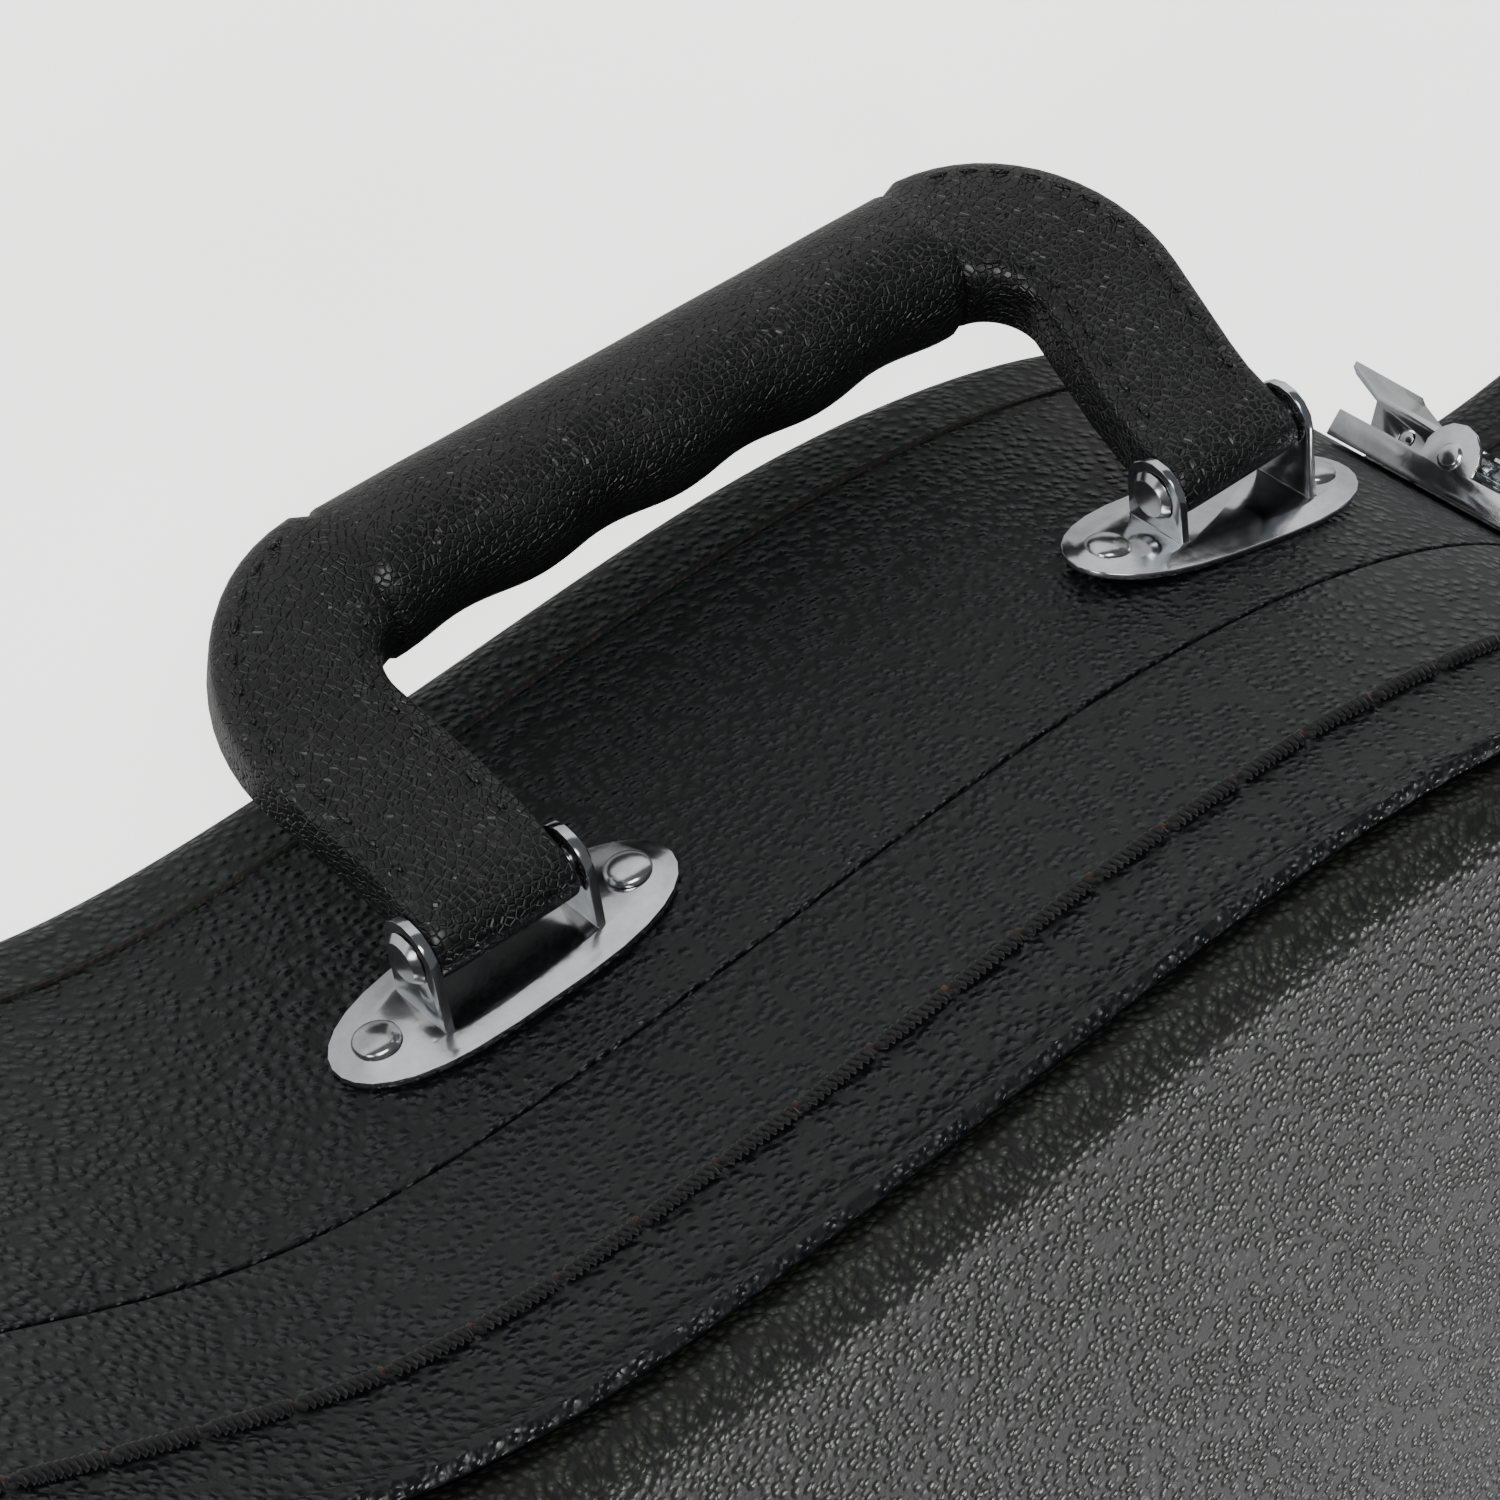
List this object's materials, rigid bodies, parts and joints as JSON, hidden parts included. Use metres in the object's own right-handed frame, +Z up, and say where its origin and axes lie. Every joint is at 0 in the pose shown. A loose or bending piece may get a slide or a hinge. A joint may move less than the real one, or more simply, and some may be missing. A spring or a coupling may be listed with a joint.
{
  "type": "acoustic guitar hard case",
  "caption": "Shaped hardshell case for an acoustic guitar: arched hinged lid over a lined base, draw latches, and a swinging handle on riveted plates.",
  "frame": {"origin": "centre of the base's flat bottom, with the case lying on its back", "axes": "+X towards the tail end, -X towards the headstock end, -Y towards the handle side, +Y towards the hinge side, +Z up through the lid"},
  "size_m": [1.1046, 0.4562, 0.1675],
  "materials": {
    "vinyl_covered_ply": "grained vinyl over ply",
    "bare_ply": "painted",
    "plush": "short pile",
    "ribbon": "woven",
    "handle_plastic": "satin moulded",
    "chromed_steel": "polished"
  },
  "bodies": {
    "base": {"accessory_box_front_wall": "plush", "accessory_box_hinge_shelf": "plush", "accessory_box_pull_shelf": "plush", "accessory_box_rear_wall": "plush", "base_bottom_panel": "vinyl_covered_ply", "base_floor_lining": "plush", "base_side_lining": "plush", "base_valance": "bare_ply", "base_wall": "vinyl_covered_ply", "bracket_rivet_neck_side_a": "chromed_steel", "bracket_rivet_neck_side_b": "chromed_steel", "bracket_rivet_waist_side_a": "chromed_steel", "bracket_rivet_waist_side_b": "chromed_steel", "handle_bracket_neck_side": "chromed_steel", "handle_bracket_waist_side": "chromed_steel", "handle_pin_neck_side": "chromed_steel", "handle_pin_waist_side": "chromed_steel", "hinge_base_leaf_head": "chromed_steel", "hinge_base_leaf_lower_bout": "chromed_steel", "hinge_base_leaf_upper_bout": "chromed_steel", "hinge_pin_head": "chromed_steel", "hinge_pin_lower_bout": "chromed_steel", "hinge_pin_upper_bout": "chromed_steel", "latch_body_head": "chromed_steel", "latch_body_lower_bout": "chromed_steel", "latch_body_neck": "chromed_steel", "latch_body_shoulder": "chromed_steel", "latch_body_tail": "chromed_steel", "neck_cradle": "plush"},
    "lid": {"hinge_lid_leaf_head": "chromed_steel", "hinge_lid_leaf_lower_bout": "chromed_steel", "hinge_lid_leaf_upper_bout": "chromed_steel", "latch_keeper_head": "chromed_steel", "latch_keeper_lower_bout": "chromed_steel", "latch_keeper_neck": "chromed_steel", "latch_keeper_shoulder": "chromed_steel", "latch_keeper_tail": "chromed_steel", "lid_lining": "plush", "lid_top_panel": "vinyl_covered_ply", "lid_wall": "vinyl_covered_ply"},
    "handle": {"handle": "handle_plastic"},
    "accessory_lid": {"accessory_box_lid": "plush", "accessory_box_pull_tab": "ribbon"},
    "lever_head": {"latch_lever_head": "chromed_steel"},
    "link_head": {"latch_link_head": "chromed_steel"},
    "lever_lower_bout": {"latch_lever_lower_bout": "chromed_steel"},
    "link_lower_bout": {"latch_link_lower_bout": "chromed_steel"},
    "lever_neck": {"latch_lever_neck": "chromed_steel"},
    "link_neck": {"latch_link_neck": "chromed_steel"},
    "lever_shoulder": {"latch_lever_shoulder": "chromed_steel"},
    "link_shoulder": {"latch_link_shoulder": "chromed_steel"},
    "lever_tail": {"latch_lever_tail": "chromed_steel"},
    "link_tail": {"latch_link_tail": "chromed_steel"}
  },
  "joints": [
    {"name": "lid_hinge", "type": "hinge", "parent": "base", "child": "lid", "pos_m": [0.08663, 0.17148, 0.09525], "axis": [-0.9859, -0.1673, 0], "range_deg": [0, 100]},
    {"name": "handle_swing", "type": "hinge", "parent": "base", "child": "handle", "pos_m": [0.09832, -0.17028, 0.0697], "axis": [-0.9989, 0.0463, 0], "range_deg": [0, 130]},
    {"name": "accessory_lid_hinge", "type": "hinge", "parent": "base", "child": "accessory_lid", "pos_m": [0, 0.033, 0.052], "axis": [-1, 0, 0], "range_deg": [0, 95]},
    {"name": "lever_head", "type": "hinge", "parent": "base", "child": "lever_head", "pos_m": [-0.54536, 0, 0.073], "axis": [0, 1, 0], "range_deg": [0, 105]},
    {"name": "link_head", "type": "hinge", "parent": "lever_head", "child": "link_head", "pos_m": [-0.54454, 0, 0.062], "axis": [0, 1, 0], "range_deg": [-105, 0]},
    {"name": "lever_lower_bout", "type": "hinge", "parent": "base", "child": "lever_lower_bout", "pos_m": [0.37544, -0.2197, 0.073], "axis": [-1, 0.0087, 0], "range_deg": [0, 105]},
    {"name": "link_lower_bout", "type": "hinge", "parent": "lever_lower_bout", "child": "link_lower_bout", "pos_m": [0.37545, -0.21887, 0.062], "axis": [-1, 0.0087, 0], "range_deg": [-105, 0]},
    {"name": "lever_neck", "type": "hinge", "parent": "base", "child": "lever_neck", "pos_m": [-0.31276, -0.0788, 0.073], "axis": [-0.9994, 0.0347, 0], "range_deg": [0, 105]},
    {"name": "link_neck", "type": "hinge", "parent": "lever_neck", "child": "link_neck", "pos_m": [-0.31273, -0.07798, 0.062], "axis": [-0.9994, 0.0347, 0], "range_deg": [-105, 0]},
    {"name": "lever_shoulder", "type": "hinge", "parent": "base", "child": "lever_shoulder", "pos_m": [-0.03889, -0.126, 0.073], "axis": [-0.6641, 0.7476, 0], "range_deg": [0, 105]},
    {"name": "link_shoulder", "type": "hinge", "parent": "lever_shoulder", "child": "link_shoulder", "pos_m": [-0.03827, -0.12545, 0.062], "axis": [-0.6641, 0.7476, 0], "range_deg": [-105, 0]},
    {"name": "lever_tail", "type": "hinge", "parent": "base", "child": "lever_tail", "pos_m": [0.5448, 0, 0.073], "axis": [0, -1, 0], "range_deg": [0, 105]},
    {"name": "link_tail", "type": "hinge", "parent": "lever_tail", "child": "link_tail", "pos_m": [0.54397, 0, 0.062], "axis": [0, -1, 0], "range_deg": [-105, 0]}
  ],
  "couplings": [
    {"joint": "link_head", "follows": "lever_head", "ratio": -1},
    {"joint": "link_lower_bout", "follows": "lever_lower_bout", "ratio": -1},
    {"joint": "link_neck", "follows": "lever_neck", "ratio": -1},
    {"joint": "link_shoulder", "follows": "lever_shoulder", "ratio": -1},
    {"joint": "link_tail", "follows": "lever_tail", "ratio": -1}
  ]
}
